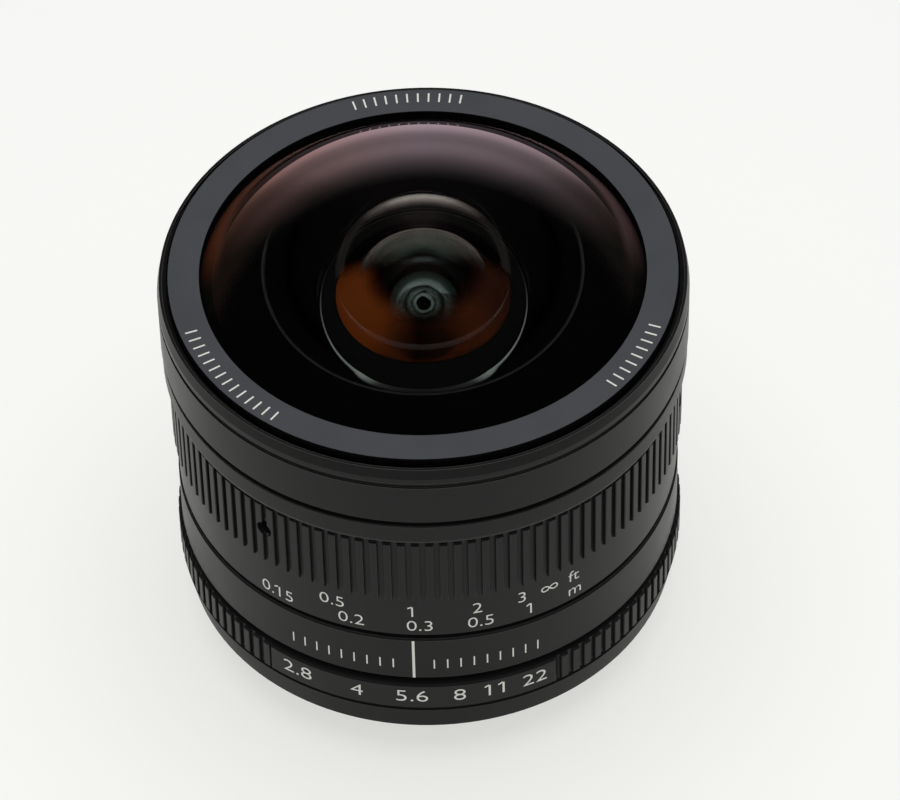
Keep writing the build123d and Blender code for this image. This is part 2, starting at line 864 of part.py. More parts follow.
def lens_carrier():
    """Aluminium carrier of all the glass: focusing thread, sleeve with key slot, central tube."""
    tube_bore = second_radius + seat_fit
    lens_bore = third_radius + seat_fit
    ledge_bore = third_radius - lens_ledge
    ledge_low = height(fourth_rear, fourth_rear_curve, ledge_bore) - glass_seat
    body = turned(
        (carrier_sleeve_bore, carrier_bottom_z),
        (carrier_sleeve_radius, carrier_bottom_z),
        (carrier_sleeve_radius, carrier_thread_z),
        (helicoid_radius, carrier_thread_z),
        (helicoid_radius, front_z),
        (carrier_flange_radius, front_z),
        (carrier_flange_radius, carrier_flange_z),
        (central_tube_radius, carrier_flange_z),
        (central_tube_radius, tube_top_z),
        (tube_bore, tube_top_z),
        (tube_bore, second_flat_z),
        (spacer_radius + seat_fit, second_flat_z),
        (spacer_radius + seat_fit, third_edge_z),
        (lens_bore, third_edge_z),
        (lens_bore, fourth_edge_z - glass_seat),
        (ledge_bore, ledge_low),
        (ledge_bore, iris_top_z),
        (iris_radius + seat_fit, iris_top_z),
        (iris_radius + seat_fit, cell_flange_z),
        (central_tube_radius, cell_flange_z),
        (central_tube_radius, front_z),
        (carrier_sleeve_bore, front_z),
    )
    slot_top = key_z + key_length / 2 + 2 * slide_travel
    slot_low = carrier_bottom_z - cut_past
    slot = Pos(sleeve_bore, 0, (slot_top + slot_low) / 2) * Box(
        2 * (carrier_sleeve_wall + cut_past), key_width + 2 * running_fit, slot_top - slot_low
    )
    body -= Rot(0, 0, key_azimuth) * slot
    screw_side = math.degrees(math.asin(set_screw_radius / carrier_sleeve_bore)) + 2 * stop_margin_angle
    body -= sector(
        carrier_sleeve_bore - cut_past,
        sleeve_radius,
        carrier_bottom_z - cut_past,
        drive_z + set_screw_radius + slide_travel + turning_gap,
        drive_middle,
        drive_half_turn + screw_side,
    )
    body -= arm_window(iris_radius, central_tube_radius)
    return body - cell_screw_places(countersunk_hole(cell_screw_head, cell_screw_shank, cell_screw_length))


def front_cell_screws():
    """Three screws that join the front barrel to the lens carrier."""
    return group(cell_screw_places(countersunk_screw(cell_screw_head, cell_screw_shank, cell_screw_length)))


def front_element():
    """Large front meniscus: a domed face and a deep bowl behind, with a flat ground ring."""
    return glass(dome_radius, dome_front, dome_front_curve, dome_rear, dome_rear_curve, dome_bowl_radius)


def front_seal():
    """Flat rubber ring under the front element."""
    return ring(dome_radius - seal_width, dome_radius - seat_fit, shelf_top_z, dome_flat_z)


def second_element():
    """Second meniscus, domed into the bowl of the first."""
    return glass(
        second_radius, second_front, second_front_curve, second_rear, second_rear_curve, second_bowl_radius
    )


def second_retainer():
    """Threaded ring that holds the second element in the central tube."""
    inner = second_radius - retainer_lip
    return turned(
        (inner, height(second_front, second_front_curve, inner) + glass_seat),
        (second_radius, second_edge_z + glass_seat),
        (second_radius, tube_top_z),
        (inner + retainer_edge, tube_top_z),
        (inner, tube_top_z - retainer_edge),
    )


def front_spacer():
    """Black conical spacer between the second and third elements."""
    return turned(
        (third_radius - lens_ledge, third_edge_z),
        (spacer_radius, third_edge_z),
        (spacer_radius, second_flat_z),
        (second_bowl_radius, second_flat_z),
    )


def third_element():
    return glass(third_radius, third_front, third_front_curve, third_rear, third_rear_curve)


def fourth_element():
    return glass(third_radius, third_rear, third_rear_curve, fourth_rear, fourth_rear_curve)


def fifth_element():
    return glass(fifth_radius, fifth_front, fifth_front_curve, fifth_rear, fifth_rear_curve)


def sixth_element():
    return glass(fifth_radius, fifth_rear, fifth_rear_curve, sixth_rear, sixth_rear_curve)


def seventh_element():
    return glass(seventh_radius, seventh_front, seventh_front_curve, seventh_rear, seventh_rear_curve)


def eighth_element():
    return glass(seventh_radius, seventh_rear, seventh_rear_curve, eighth_rear, eighth_rear_curve)


def ninth_element():
    return glass(ninth_radius, ninth_front, ninth_front_curve, ninth_rear, ninth_rear_curve)


def iris_housing():
    """Cup that holds the iris, with a pivot hole for each blade and a window for the arm."""
    body = turned(
        (iris_stop_radius, iris_floor_z),
        (iris_bore, iris_floor_z),
        (iris_bore, cover_z),
        (iris_radius, cover_z),
        (iris_radius, iris_top_z),
        (iris_stop_radius, iris_top_z),
    )
    hole = Cylinder(blade_pin_radius + blade_pin_fit, 3 * iris_floor)
    body -= around(Pos(blade_pivot_circle, 0, iris_top_z) * hole, blade_count)
    return body - arm_window(iris_bore, iris_radius)


def iris_cover():
    """Rear plate of the iris, under the cam ring."""
    return ring(cam_bore_radius, iris_bore - seat_fit, cover_z, cover_top_z)


def polar(radius, degrees):
    angle = math.radians(degrees)
    return radius * math.cos(angle), radius * math.sin(angle)


def turn_about(point, pivot, degrees):
    lean = math.degrees(math.atan2(point[1] - pivot[1], point[0] - pivot[0]))
    across, along = polar(math.dist(point, pivot), lean + degrees)
    return pivot[0] + across, pivot[1] + along


def cam_pin_at(ring_turn):
    """Place of a blade's cam pin on the cam ring when the ring has turned from rest."""
    open_pin = polar(cam_pin_circle, cam_pin_angle)
    pin = turn_about(open_pin, (blade_pivot_circle, 0), blade_rest_angle - blade_ratio * ring_turn)
    return turn_about(pin, (0, 0), -ring_turn)


def iris_cam_ring():
    """Ring with a curved slot for each blade's pin and a forked arm to the driving screw."""
    body = ring(cam_bore_radius, iris_bore - running_fit, cam_z, cam_top_z)
    first = cam_pin_at(-aperture_closed_angle - stop_margin_angle)
    last = cam_pin_at(aperture_open_angle + stop_margin_angle)
    path = ThreePointArc(first, cam_pin_at(0.0), last)
    slot = extrude(SlotArc(path, 2 * (blade_pin_radius + blade_pin_fit)), 3 * cam_thickness)
    body -= around(Pos(0, 0, cam_z - cam_thickness) * slot, blade_count)
    reach = arm_radius + arm_thickness
    start = iris_bore - arm_tongue
    low = drive_z - set_screw_radius - slide_travel - arm_end_gap
    tongue = Pos((start + reach) / 2, 0, cam_top_z - arm_tongue / 2) * Box(
        reach - start, arm_width, arm_tongue
    )
    leg = Pos(arm_radius + arm_thickness / 2, 0, (cam_top_z + low) / 2) * Box(
        arm_thickness, arm_width, cam_top_z - low
    )
    fork_top = drive_z + set_screw_radius + slide_travel + arm_gap
    fork_low = low - cut_past
    fork = Pos(arm_radius, 0, (fork_low + fork_top) / 2) * Box(
        4 * arm_thickness, 2 * (set_screw_radius + running_fit), fork_top - fork_low
    )
    return body + Rot(0, 0, drive_azimuth) * (tongue + leg - fork)


def iris_blade(number):
    """One crescent blade on its own level, with a pivot pin above and a cam pin below."""
    low = blade_top_z - blade_thickness - blade_step * number
    pivot = (blade_pivot_circle, 0)
    cam = polar(cam_pin_circle, cam_pin_angle)
    middle = (blade_start_angle + blade_end_angle) / 2
    half = (blade_end_angle - blade_start_angle) / 2
    outer = blade_edge_radius + blade_width
    blade = sector(blade_edge_radius, outer, 0, blade_thickness, middle, half)
    tab = extrude(SlotCenterToCenter(blade_width, 2 * blade_tab_radius), blade_thickness)
    blade += Pos(blade_pivot_circle - blade_width / 2, 0, 0) * tab
    lean = math.degrees(math.atan2(cam[1], cam[0] - blade_pivot_circle))
    link = extrude(SlotCenterToCenter(math.dist(pivot, cam), 2 * cam_tab_radius), blade_thickness)
    blade += Pos((pivot[0] + cam[0]) / 2, cam[1] / 2, 0) * (Rot(0, 0, lean) * link)
    pin_top = iris_top_z - blade_pin_gap - low
    blade += Pos(*pivot, pin_top / 2) * Cylinder(blade_pin_radius, pin_top)
    pin_low = cam_z + blade_pin_gap - low
    pin = Cylinder(blade_pin_radius, blade_thickness - pin_low)
    blade += Pos(*cam, (blade_thickness + pin_low) / 2) * pin
    swung = Pos(*pivot, 0) * (Rot(0, 0, blade_rest_angle) * (Pos(-blade_pivot_circle, 0, 0) * blade))
    return Rot(0, 0, 360.0 * number / blade_count) * (Pos(0, 0, low) * swung)


def rear_cell():
    """Tube behind the iris that holds the rear group."""
    fifth_bore = fifth_radius + seat_fit
    seventh_bore = seventh_radius + seat_fit
    ninth_bore = ninth_radius + seat_fit
    low = ninth_low_z - rear_retainer_height - rear_cell_margin
    return turned(
        (rear_lip_bore, height(fifth_front, fifth_front_curve, rear_lip_bore) + glass_seat),
        (fifth_bore, fifth_edge_z + glass_seat),
        (fifth_bore, rear_step_z),
        (seventh_bore, rear_step_z),
        (seventh_bore, ninth_bore_z),
        (ninth_bore, ninth_bore_z),
        (ninth_bore, low),
        (rear_cell_radius - rear_cell_edge, low),
        (rear_cell_radius, low + rear_cell_edge),
        (rear_cell_radius, cell_flange_z),
        (iris_radius, cell_flange_z),
        (iris_radius, cover_z),
        (rear_lip_bore, cover_z),
    )


def rear_spacer_front():
    """Spacer between the two cemented pairs of the rear group."""
    inner = fifth_radius - rear_spacer_wall
    outer = fifth_radius - seat_fit
    low = height(seventh_front, seventh_front_curve, inner) + glass_seat
    return turned(
        (inner, low),
        (outer, low),
        (outer, sixth_edge_z - glass_seat),
        (inner, height(sixth_rear, sixth_rear_curve, inner) - glass_seat),
    )


def rear_spacer_back():
    """Spacer in front of the rear element."""
    inner = seventh_radius - rear_spacer_wall
    outer = ninth_radius - seat_fit
    return turned(
        (inner, height(ninth_front, ninth_front_curve, inner) + glass_seat),
        (outer, ninth_edge_z + rear_spacer_relief),
        (outer, ninth_bore_z - seat_fit),
        (seventh_radius, ninth_bore_z - seat_fit),
        (inner, height(eighth_rear, eighth_rear_curve, inner) - glass_seat),
    )


def rear_retainer():
    """Threaded ring behind the rear element."""
    inner = ninth_radius - rear_retainer_wall
    outer = ninth_radius - seat_fit
    high = height(ninth_rear, ninth_rear_curve, inner) - glass_seat
    low = ninth_low_z - rear_retainer_height
    return turned((inner + retainer_lip, low), (outer, low), (outer, high), (inner, high))


nodes = [
    mount_bayonet,
    mount_screws,
    rear_baffle,
    rear_baffle_screws,
    base_ring,
    main_barrel,
    guide_key,
    guide_key_screws,
    index_ring,
    focus_stop_pin,
    focus_retainer,
    aperture_spring,
    focus_ring,
    helicoid_ring,
    focus_set_screws,
    aperture_ring,
    aperture_drive_screw,
    name_ring,
    front_barrel,
    front_collar,
    lens_carrier,
    front_cell_screws,
    front_element,
    front_seal,
    second_element,
    second_retainer,
    front_spacer,
    third_element,
    fourth_element,
    iris_housing,
    iris_cover,
    iris_cam_ring,
    rear_cell,
    fifth_element,
    sixth_element,
    rear_spacer_front,
    seventh_element,
    eighth_element,
    rear_spacer_back,
    ninth_element,
    rear_retainer,
]

os.makedirs("parts", exist_ok=True)
for make in nodes:
    export_step(make(), f"parts/{make.__name__}.step")
for number in range(blade_count):
    export_step(iris_blade(number), f"parts/iris_blade_{number + 1}.step")
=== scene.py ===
import bpy
import math
from mathutils import Matrix, Vector


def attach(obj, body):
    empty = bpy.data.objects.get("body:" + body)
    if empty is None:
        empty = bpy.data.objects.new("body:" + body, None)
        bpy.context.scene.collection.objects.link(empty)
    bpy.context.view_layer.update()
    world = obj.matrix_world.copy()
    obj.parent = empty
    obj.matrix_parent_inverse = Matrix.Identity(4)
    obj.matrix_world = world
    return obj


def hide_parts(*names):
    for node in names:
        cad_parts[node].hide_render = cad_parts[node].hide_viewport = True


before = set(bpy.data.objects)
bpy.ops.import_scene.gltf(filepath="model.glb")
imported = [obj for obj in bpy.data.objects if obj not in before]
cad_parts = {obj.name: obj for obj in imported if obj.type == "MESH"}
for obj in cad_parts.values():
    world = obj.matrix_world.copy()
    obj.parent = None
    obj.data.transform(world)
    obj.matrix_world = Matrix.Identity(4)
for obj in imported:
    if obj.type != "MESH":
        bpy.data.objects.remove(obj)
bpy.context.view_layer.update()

# The table that the lens stands on: a round sheet of pale paper, cut with a knife and laid flat.
# It keeps the lens's soft shadow and fades into the white round it, so its edge isn't seen.
mm = 0.001
floor_radius = 130
floor_sides = 96
paper_cloud_size = 111
white = "#f6f6f4"


def paint(code):
    """The linear colour of an sRGB hex code."""
    parts = [int(code[place:place + 2], 16) / 255 for place in (1, 3, 5)]
    return [part / 12.92 if part <= 0.04045 else ((part + 0.055) / 1.055) ** 2.4 for part in parts] + [1.0]


def add(tree, kind, values=None, links=None, **settings):
    """Adds a node with its settings, its sockets' values and its sockets' links."""
    made = tree.nodes.new(kind)
    for name, value in settings.items():
        setattr(made, name, value)
    for socket, value in (values or {}).items():
        made.inputs[socket].default_value = value
    for socket, source in (links or {}).items():
        tree.links.new(source, made.inputs[socket])
    return made


def new_material(name, **values):
    """A material, its node tree and its shader, whose sockets take the values."""
    made = bpy.data.materials.new(name)
    made.use_nodes = True
    shader = made.node_tree.nodes["Principled BSDF"]
    for socket, value in values.items():
        shader.inputs[socket.replace("_", " ").title().replace("Ior", "IOR")].default_value = value
    return made, made.node_tree, shader


def circle(radius, height, sides):
    """Points round the upright axis."""
    return [(radius * math.cos(math.tau * side / sides), radius * math.sin(math.tau * side / sides), height)
            for side in range(sides)]


def mesh_piece(name, points, faces, materials, face_materials=None, smooth_angle=None):
    """A mesh object from points in millimetres."""
    mesh = bpy.data.meshes.new(name)
    mesh.from_pydata([Vector(point) * mm for point in points], [], faces)
    for material in materials:
        mesh.materials.append(material)
    if face_materials:
        mesh.polygons.foreach_set("material_index", face_materials)
    if smooth_angle:
        mesh.shade_smooth()
        mesh.set_sharp_from_angle(angle=math.radians(smooth_angle))
    mesh.update()
    piece = bpy.data.objects.new(name, mesh)
    bpy.context.scene.collection.objects.link(piece)
    return piece


# Matt coated paper: nearly white, with a very slight cloudiness from its fibres.
paper, paper_tree, paper_shader = new_material("coated_paper", roughness=0.85)
paper_place = add(paper_tree, "ShaderNodeTexCoord")
paper_cloud = add(paper_tree, "ShaderNodeTexNoise",
                  {"Scale": 1 / (paper_cloud_size * mm), "Detail": 3.0},
                  {"Vector": paper_place.outputs["Object"]})
paper_colour = add(paper_tree, "ShaderNodeMix", {"A": paint("#f9f9f7"), "B": paint("#f5f5f2")},
                   {"Factor": paper_cloud.outputs["Fac"]}, data_type="RGBA")
paper_tree.links.new(paper_colour.outputs[2], paper_shader.inputs["Base Color"])

# What is seen of the paper, straight on or in metal and glass, turns to plain white towards its rim.
paper_rays = add(paper_tree, "ShaderNodeLightPath")
paper_mirrored = add(paper_tree, "ShaderNodeMath", operation="MAXIMUM",
                     links={0: paper_rays.outputs["Is Glossy Ray"],
                            1: paper_rays.outputs["Is Transmission Ray"]})
paper_seen = add(paper_tree, "ShaderNodeMath", operation="MAXIMUM",
                 links={0: paper_mirrored.outputs[0], 1: paper_rays.outputs["Is Camera Ray"]})
paper_reach = add(paper_tree, "ShaderNodeVectorMath", links={0: paper_place.outputs["Object"]},
                  operation="LENGTH")
paper_rim = add(paper_tree, "ShaderNodeMapRange",
                {"From Min": 0.3 * floor_radius * mm, "From Max": 0.95 * floor_radius * mm, "To Min": 0.58},
                {"Value": paper_reach.outputs["Value"]}, interpolation_type="SMOOTHSTEP")
paper_fade = add(paper_tree, "ShaderNodeMath", links={0: paper_rim.outputs[0], 1: paper_seen.outputs[0]},
                 operation="MULTIPLY")
paper_white = add(paper_tree, "ShaderNodeEmission", {"Color": paint(white)})
paper_top = add(paper_tree, "ShaderNodeMixShader",
                links={0: paper_fade.outputs[0], 1: paper_shader.outputs[0], 2: paper_white.outputs[0]})

# From below the paper is clear, so that the rear of the lens can be looked at.
paper_side = add(paper_tree, "ShaderNodeNewGeometry")
paper_below = add(paper_tree, "ShaderNodeBsdfTransparent")
paper_both = add(paper_tree, "ShaderNodeMixShader",
                 links={0: paper_side.outputs["Backfacing"], 1: paper_top.outputs[0],
                        2: paper_below.outputs[0]})
paper_tree.links.new(paper_both.outputs[0], paper_tree.nodes["Material Output"].inputs["Surface"])
floor_points = [(0, 0, 0)] + circle(floor_radius, 0, floor_sides)
floor_faces = [(0, 1 + side, 1 + (side + 1) % floor_sides) for side in range(floor_sides)]
floor = mesh_piece("floor", floor_points, floor_faces, [paper])

# The studio: pale all round, with one large cloth-covered lamp overhead that gives the soft shadow.
# Polished glass mirrors only a pale board, low behind the lens, brightest in the middle and fading
# to the sides and upwards. Overhead it mirrors darkness, as it does in the photograph.
soft_light = 0.8
far_half = 0.05
board_low, board_high = -0.42, 0.58


def ramp(tree, source, start, end, stops):
    """A run of colours over a value, from (share of the way, colour) stops."""
    spread = add(tree, "ShaderNodeMapRange", {"From Min": start, "From Max": end}, {"Value": source})
    made = add(tree, "ShaderNodeValToRGB", links={"Fac": spread.outputs[0]})
    while len(made.color_ramp.elements) < len(stops):
        made.color_ramp.elements.new(0.5)
    for element, (share, colour) in zip(made.color_ramp.elements, stops):
        element.position = share
        element.color = paint(colour)
    return made.outputs["Color"]


world = bpy.data.worlds.new("studio")
bpy.context.scene.world = world
world.use_nodes = True
sky = world.node_tree
sky.nodes.clear()
rays = add(sky, "ShaderNodeLightPath")
aim = add(sky, "ShaderNodeTexCoord")
rise = add(sky, "ShaderNodeSeparateXYZ", links={0: aim.outputs["Generated"]})
behind = add(sky, "ShaderNodeMath", {1: far_half}, {0: rise.outputs["Y"]}, operation="MAXIMUM")
board_rise = add(sky, "ShaderNodeMath", links={0: rise.outputs["Z"], 1: behind.outputs[0]},
                 operation="DIVIDE")
board_way = add(sky, "ShaderNodeMath", links={0: rise.outputs["X"], 1: behind.outputs[0]},
                operation="DIVIDE")
board_side = add(sky, "ShaderNodeMath", links={0: board_way.outputs[0]}, operation="ABSOLUTE")
board_up = ramp(sky, board_rise.outputs[0], board_low, board_high,
                [(0.0, "#ffffff"), (0.14, "#ffffff"), (0.27, "#d9d9d9"), (0.38, "#dadada"),
                 (0.51, "#fdfdfd"), (0.59, "#f6f6f6"), (0.66, "#d8d8d8"), (0.75, "#a9a9a9"),
                 (0.84, "#787878"), (0.92, "#4a4a4a"), (1.0, "#282828")])
board_across = ramp(sky, board_side.outputs[0], 0.0, 1.0,
                    [(0.0, "#ffffff"), (0.2, "#fbfbfb"), (0.36, "#e3e3e3"), (0.45, "#b8b8b8"),
                     (0.53, "#9c9c9c"), (0.68, "#868686"), (0.8, "#6a6a6a"), (1.0, "#3c3c3c")])
board = add(sky, "ShaderNodeMath", links={0: board_up, 1: board_across}, operation="MULTIPLY")
board_half = add(sky, "ShaderNodeMath", {1: far_half}, {0: rise.outputs["Y"]}, operation="GREATER_THAN")
mirrored = add(sky, "ShaderNodeMath", links={0: board.outputs[0], 1: board_half.outputs[0]},
               operation="MULTIPLY")
scattered = add(sky, "ShaderNodeMath", {1: 0.5}, {0: rays.outputs["Diffuse Depth"]}, operation="GREATER_THAN")
soft = add(sky, "ShaderNodeMix", {"B": soft_light},
           {"Factor": scattered.outputs[0], "A": mirrored.outputs[0]}, data_type="FLOAT")
brightness = add(sky, "ShaderNodeMix", {"B": 1.0},
                 {"Factor": rays.outputs["Is Camera Ray"], "A": soft.outputs[0]}, data_type="FLOAT")
air = add(sky, "ShaderNodeBackground", {"Color": paint(white)}, {"Strength": brightness.outputs[0]})
add(sky, "ShaderNodeOutputWorld", links={"Surface": air.outputs[0]})

lamp_data = bpy.data.lights.new("overhead_cloth_lamp", "AREA")
lamp_data.shape = "DISK"
lamp_data.size = 1.6
lamp_data.energy = 11.0
lamp = bpy.data.objects.new("overhead_cloth_lamp", lamp_data)
lamp.location = (0.03, 0.1, 1.5)
lamp.rotation_euler = lamp.location.to_track_quat("Z", "Y").to_euler()
lamp.visible_glossy = False
lamp.visible_transmission = False
bpy.context.scene.collection.objects.link(lamp)

# The camera stands in front of the index line and looks down at the lens, as in the photograph.
# Its place, its tilt and its slight roll were fitted to the ellipses of the rings.
camera_place = Vector((0.002696, -0.41440, 0.48415))
camera_elevation = math.radians(47.643)
camera_roll = math.radians(-1.369)
camera_data = bpy.data.cameras.new("camera")
camera_data.sensor_width = 36.0
camera_data.lens = 213.16
camera_data.clip_start = 0.05
camera_data.clip_end = 50.0
camera = bpy.data.objects.new("camera", camera_data)
ahead = Vector((0, math.cos(camera_elevation), -math.sin(camera_elevation)))
level = Vector((1, 0, 0))
upright = level.cross(ahead)
right = math.cos(camera_roll) * level + math.sin(camera_roll) * upright
up = -math.sin(camera_roll) * level + math.cos(camera_roll) * upright
camera.matrix_world = Matrix.Translation(camera_place) @ Matrix((right, up, -ahead)).transposed().to_4x4()
bpy.context.scene.collection.objects.link(camera)
bpy.context.scene.camera = camera
bpy.context.scene.view_settings.view_transform = "Standard"

# The outer rings: aluminium turned on a lathe, blasted with fine beads and anodised black.
# They screw or slide onto the barrel. Hands have worn their edges a little lighter, and the lighter edges are
# also a painted highlight.
# The grain and the tool lines are drawn at a quarter of a millimetre, as the real ones are too fine.
grain_size = 0.25
tool_line_pitch = 0.22
tool_line_length = 40
cloud_size = 6
edge_width = 0.1
edge_starts, edge_full = 0.985, 0.88


def anodised(name, colour, worn, roughness, specular, worn_and_highlit_edge_colour=None):
    """Black anodised aluminium: a fine grain, faint lines of the turning tool, and worn edges with a painted
    highlight.
    """
    made, tree, shader = new_material(name, roughness=roughness, specular_ior_level=specular)
    place = add(tree, "ShaderNodeTexCoord")
    grain = add(tree, "ShaderNodeTexNoise", {"Scale": 1 / (grain_size * mm), "Detail": 2.0},
                {"Vector": place.outputs["Object"]})
    cloud = add(tree, "ShaderNodeTexNoise", {"Scale": 1 / (cloud_size * mm), "Detail": 3.0},
                {"Vector": place.outputs["Object"]})
    lathe_space = add(tree, "ShaderNodeVectorMath", {1: (1.0, 1.0, tool_line_length)},
                      {0: place.outputs["Object"]}, operation="MULTIPLY")
    lines = add(tree, "ShaderNodeTexNoise",
                {"Scale": 1 / (tool_line_length * tool_line_pitch * mm), "Detail": 1.0},
                {"Vector": lathe_space.outputs[0]})
    tone = add(tree, "ShaderNodeMix", {"A": paint(colour), "B": paint(worn)},
               {"Factor": cloud.outputs["Fac"]}, data_type="RGBA")
    # The lighter edge colour is partly wear and partly a painted highlight, on hollow edges too.
    if worn_and_highlit_edge_colour:
        rounded = add(tree, "ShaderNodeBevel", {"Radius": edge_width * mm}, samples=4)
        shape = add(tree, "ShaderNodeNewGeometry")
        turned = add(tree, "ShaderNodeVectorMath", links={0: rounded.outputs[0], 1: shape.outputs["Normal"]},
                     operation="DOT_PRODUCT")
        worn_and_highlit_edges = add(tree, "ShaderNodeMapRange", {"From Min": edge_starts, "From Max": edge_full},
                     {"Value": turned.outputs["Value"]})
        tone = add(tree, "ShaderNodeMix", {"B": paint(worn_and_highlit_edge_colour)},
                   {"Factor": worn_and_highlit_edges.outputs[0], "A": tone.outputs[2]}, data_type="RGBA")
    tree.links.new(tone.outputs[2], shader.inputs["Base Color"])
    dullness = add(tree, "ShaderNodeMapRange", {"To Min": roughness - 0.06, "To Max": roughness + 0.06},
                   {"Value": cloud.outputs["Fac"]})
    tree.links.new(dullness.outputs[0], shader.inputs["Roughness"])
    relief = add(tree, "ShaderNodeMix", {"Factor": 0.35},
                 {"A": grain.outputs["Fac"], "B": lines.outputs["Fac"]}, data_type="FLOAT")
    bump = add(tree, "ShaderNodeBump", {"Strength": 0.25, "Distance": 0.01 * mm},
               {"Height": relief.outputs[0]})
    tree.links.new(bump.outputs[0], shader.inputs["Normal"])
    return made


def dress(material, *names):
    """Gives CAD nodes a material."""
    for name in names:
        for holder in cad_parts[name].material_slots:
            holder.material = material


# The smooth rings: satin black that turns grey where it meets the light at a slant.
dress(anodised("black_anodised_aluminium", "#171717", "#1c1c1c", 0.34, 0.13, "#50504e"),
      "index_ring", "front_barrel", "front_collar")
# The base ring: the same black, darker and duller as a painted shade, since it leans towards the bright
# table.
dress(anodised("black_anodised_base_painted_shade", "#101010", "#151515", 0.4, 0.06, "#484846"), "base_ring")
# The ribbed rings: a drier black, with only a faint painted highlight on the ribs' many edges.
dress(anodised("black_anodised_ribs", "#171717", "#1d1d1d", 0.34, 0.14, "#30302f"),
      "focus_ring", "aperture_ring")

# The name ring: a flat aluminium ring round the front glass, screwed into the front barrel.
# It was blasted more coarsely before it was anodised, so its flat top is an even, dull grey.
# Its slanted and upright faces get a painted shade, dead black and without sheen, and show as thin dark lines
# round the glass.
flat_enough = 0.95
ring_specular = 0.5
name_ring_finish = anodised("satin_anodised_name_ring", "#3c3e42", "#44464b", 0.55, ring_specular)
dress(name_ring_finish, "name_ring")
ring_tree = name_ring_finish.node_tree
ring_shape = add(ring_tree, "ShaderNodeNewGeometry")
ring_rise = add(ring_tree, "ShaderNodeSeparateXYZ", links={0: ring_shape.outputs["True Normal"]})
ring_flat = add(ring_tree, "ShaderNodeMath", {1: flat_enough}, {0: ring_rise.outputs[2]},
                operation="GREATER_THAN")
ring_shader = ring_tree.nodes["Principled BSDF"]
# Painted shade: every face that is not flat and facing up turns dead black, and its sheen is taken away.
ring_painted_shade_tone = add(ring_tree, "ShaderNodeMix", {"A": paint("#060606")},
                {"Factor": ring_flat.outputs[0], "B": ring_shader.inputs["Base Color"].links[0].from_socket},
                data_type="RGBA")
ring_tree.links.new(ring_painted_shade_tone.outputs[2], ring_shader.inputs["Base Color"])
ring_sheen_painted_shade = add(ring_tree, "ShaderNodeMath", {1: ring_specular}, {0: ring_flat.outputs[0]},
                 operation="MULTIPLY")
ring_tree.links.new(ring_sheen_painted_shade.outputs[0], ring_shader.inputs["Specular IOR Level"])

# The inside metal: aluminium tubes, retainers and spacers that hold the glass, turned and threaded.
# They are anodised a dead black that swallows stray light, so the glass looks deep.
dress(anodised("matt_anodised_inside", "#060706", "#0a0b09", 0.8, 0.0),
      "main_barrel", "focus_retainer", "lens_carrier", "second_retainer", "front_spacer", "iris_housing",
      "iris_cover", "rear_cell", "rear_spacer_front", "rear_spacer_back", "rear_retainer")

# The bare metal pieces: the bayonet at the rear, the brass nut and key inside, screws, pin and spring.
# They are turned, milled or bent to size, then plated, blackened or left bare, and threaded or screwed in.
tarnish_size = 4


def distance_from_axis(tree, place):
    """How far a point is from the optical axis, in metres."""
    flat = add(tree, "ShaderNodeVectorMath", {1: (1.0, 1.0, 0.0)}, {0: place.outputs["Object"]},
               operation="MULTIPLY")
    return add(tree, "ShaderNodeVectorMath", links={0: flat.outputs[0]}, operation="LENGTH").outputs["Value"]


def bare_metal(name, colour, tarnish, roughness):
    """Metal with the fine rings of the lathe and a slow drift in its colour."""
    made, tree, shader = new_material(name, metallic=1.0, roughness=roughness)
    place = add(tree, "ShaderNodeTexCoord")
    cloud = add(tree, "ShaderNodeTexNoise", {"Scale": 1 / (tarnish_size * mm), "Detail": 4.0},
                {"Vector": place.outputs["Object"]})
    apart = add(tree, "ShaderNodeSeparateXYZ", links={0: place.outputs["Object"]})
    track = add(tree, "ShaderNodeCombineXYZ", links={0: distance_from_axis(tree, place), 2: apart.outputs[2]})
    rings = add(tree, "ShaderNodeTexNoise", {"Scale": 1 / (tool_line_pitch * mm), "Detail": 2.0},
                {"Vector": track.outputs[0]})
    tone = add(tree, "ShaderNodeMix", {"A": paint(colour), "B": paint(tarnish)},
               {"Factor": cloud.outputs["Fac"]}, data_type="RGBA")
    tree.links.new(tone.outputs[2], shader.inputs["Base Color"])
    dullness = add(tree, "ShaderNodeMapRange", {"To Min": roughness - 0.08, "To Max": roughness + 0.1},
                   {"Value": rings.outputs["Fac"]})
    tree.links.new(dullness.outputs[0], shader.inputs["Roughness"])
    bump = add(tree, "ShaderNodeBump", {"Strength": 0.2, "Distance": 0.01 * mm},
               {"Height": rings.outputs["Fac"]})
    tree.links.new(bump.outputs[0], shader.inputs["Normal"])
    return made


# Dull chromium over brass: a cool, soft mirror with rings that catch the light.
dress(bare_metal("dull_chromium_plate", "#c4c2bc", "#aeaca6", 0.30), "mount_bayonet")
# Bare brass: warm yellow, already browned in places.
dress(bare_metal("turned_brass", "#b8974f", "#a07d3c", 0.32), "helicoid_ring", "guide_key")
# Plain steel: small grey glints on the screws' heads.
dress(bare_metal("plain_steel", "#a9a9a6", "#8c8b88", 0.34), "mount_screws", "guide_key_screws",
      "front_cell_screws", "focus_stop_pin", "aperture_drive_screw")
# Blackened steel: nearly lost in the black round it.
dress(bare_metal("blackened_steel", "#2b2b2d", "#1f1f20", 0.42), "focus_set_screws", "rear_baffle_screws")
# Spring steel: darker, with a brown tinge from its tempering.
dress(bare_metal("spring_steel", "#6f6a60", "#57534c", 0.30), "aperture_spring")

# The rear baffle and the front seal: the first moulded in black polycarbonate and held by three
# screws, the second a thin ring of nitrile rubber, pressed between the glass and its seat.


